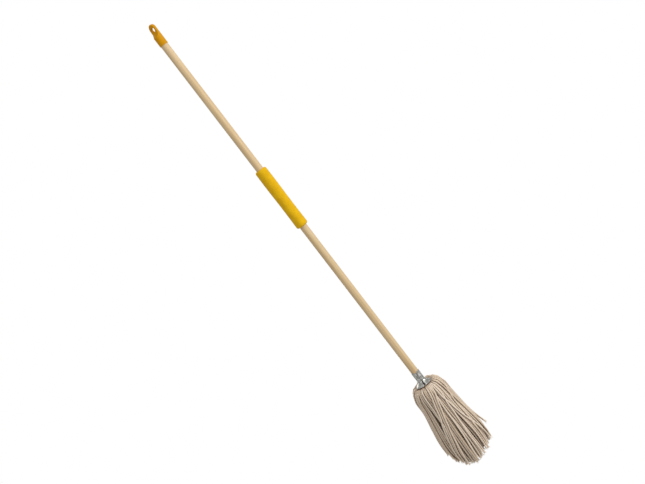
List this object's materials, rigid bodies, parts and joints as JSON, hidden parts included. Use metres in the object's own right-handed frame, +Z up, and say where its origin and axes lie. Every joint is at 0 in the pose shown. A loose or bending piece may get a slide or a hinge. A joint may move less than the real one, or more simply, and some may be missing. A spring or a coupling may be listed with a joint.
{
  "type": "string mop",
  "caption": "Cotton string mop: long round wooden handle with a hanging cap and a foam grip, a flared steel ferrule and a yarn head whose tufts swing outward.",
  "frame": {"origin": "on the axis of the hanging hole in the cap, where it crosses the handle's axis", "axes": "+Z up along the handle towards the cap's tip, +Y along the hanging hole's axis from the tab's deep front scoop to its back"},
  "size_m": [0.1356, 0.1362, 1.5115],
  "materials": {
    "handle_wood": "satin",
    "cap_plastic": "satin",
    "grip_foam": "matte",
    "galvanised_steel": "satin",
    "steel": "satin",
    "cotton_yarn": "matte"
  },
  "bodies": {
    "mop": {"wooden_handle": "handle_wood", "hanging_cap": "cap_plastic", "foam_grip": "grip_foam", "ferrule": "galvanised_steel", "ferrule_nail": "steel", "clamp_plate": "galvanised_steel", "clamp_screw": "steel", "yarn_shoulder": "cotton_yarn", "yarn_core": "cotton_yarn"},
    "yarn_tuft_01": {"yarn_tuft_01": "cotton_yarn"},
    "yarn_tuft_02": {"yarn_tuft_02": "cotton_yarn"},
    "yarn_tuft_03": {"yarn_tuft_03": "cotton_yarn"},
    "yarn_tuft_04": {"yarn_tuft_04": "cotton_yarn"},
    "yarn_tuft_05": {"yarn_tuft_05": "cotton_yarn"},
    "yarn_tuft_06": {"yarn_tuft_06": "cotton_yarn"},
    "yarn_tuft_07": {"yarn_tuft_07": "cotton_yarn"},
    "yarn_tuft_08": {"yarn_tuft_08": "cotton_yarn"},
    "yarn_tuft_09": {"yarn_tuft_09": "cotton_yarn"},
    "yarn_tuft_10": {"yarn_tuft_10": "cotton_yarn"},
    "yarn_tuft_11": {"yarn_tuft_11": "cotton_yarn"},
    "yarn_tuft_12": {"yarn_tuft_12": "cotton_yarn"}
  },
  "joints": [
    {"name": "yarn_tuft_01_swing", "type": "hinge", "parent": "mop", "child": "yarn_tuft_01", "pos_m": [0.03465, -0.03465, -1.253], "axis": [-0.7071, -0.7071, 0], "range_deg": [0, 75]},
    {"name": "yarn_tuft_02_swing", "type": "hinge", "parent": "mop", "child": "yarn_tuft_02", "pos_m": [0.04733, -0.01268, -1.253], "axis": [-0.2588, -0.9659, 0], "range_deg": [0, 75]},
    {"name": "yarn_tuft_03_swing", "type": "hinge", "parent": "mop", "child": "yarn_tuft_03", "pos_m": [0.04733, 0.01268, -1.253], "axis": [0.2588, -0.9659, 0], "range_deg": [0, 75]},
    {"name": "yarn_tuft_04_swing", "type": "hinge", "parent": "mop", "child": "yarn_tuft_04", "pos_m": [0.03465, 0.03465, -1.253], "axis": [0.7071, -0.7071, 0], "range_deg": [0, 75]},
    {"name": "yarn_tuft_05_swing", "type": "hinge", "parent": "mop", "child": "yarn_tuft_05", "pos_m": [0.01268, 0.04733, -1.253], "axis": [0.9659, -0.2588, 0], "range_deg": [0, 75]},
    {"name": "yarn_tuft_06_swing", "type": "hinge", "parent": "mop", "child": "yarn_tuft_06", "pos_m": [-0.01268, 0.04733, -1.253], "axis": [0.9659, 0.2588, 0], "range_deg": [0, 75]},
    {"name": "yarn_tuft_07_swing", "type": "hinge", "parent": "mop", "child": "yarn_tuft_07", "pos_m": [-0.03465, 0.03465, -1.253], "axis": [0.7071, 0.7071, 0], "range_deg": [0, 75]},
    {"name": "yarn_tuft_08_swing", "type": "hinge", "parent": "mop", "child": "yarn_tuft_08", "pos_m": [-0.04733, 0.01268, -1.253], "axis": [0.2588, 0.9659, 0], "range_deg": [0, 75]},
    {"name": "yarn_tuft_09_swing", "type": "hinge", "parent": "mop", "child": "yarn_tuft_09", "pos_m": [-0.04733, -0.01268, -1.253], "axis": [-0.2588, 0.9659, 0], "range_deg": [0, 75]},
    {"name": "yarn_tuft_10_swing", "type": "hinge", "parent": "mop", "child": "yarn_tuft_10", "pos_m": [-0.03465, -0.03465, -1.253], "axis": [-0.7071, 0.7071, 0], "range_deg": [0, 75]},
    {"name": "yarn_tuft_11_swing", "type": "hinge", "parent": "mop", "child": "yarn_tuft_11", "pos_m": [-0.01268, -0.04733, -1.253], "axis": [-0.9659, 0.2588, 0], "range_deg": [0, 75]},
    {"name": "yarn_tuft_12_swing", "type": "hinge", "parent": "mop", "child": "yarn_tuft_12", "pos_m": [0.01268, -0.04733, -1.253], "axis": [-0.9659, -0.2588, 0], "range_deg": [0, 75]}
  ]
}
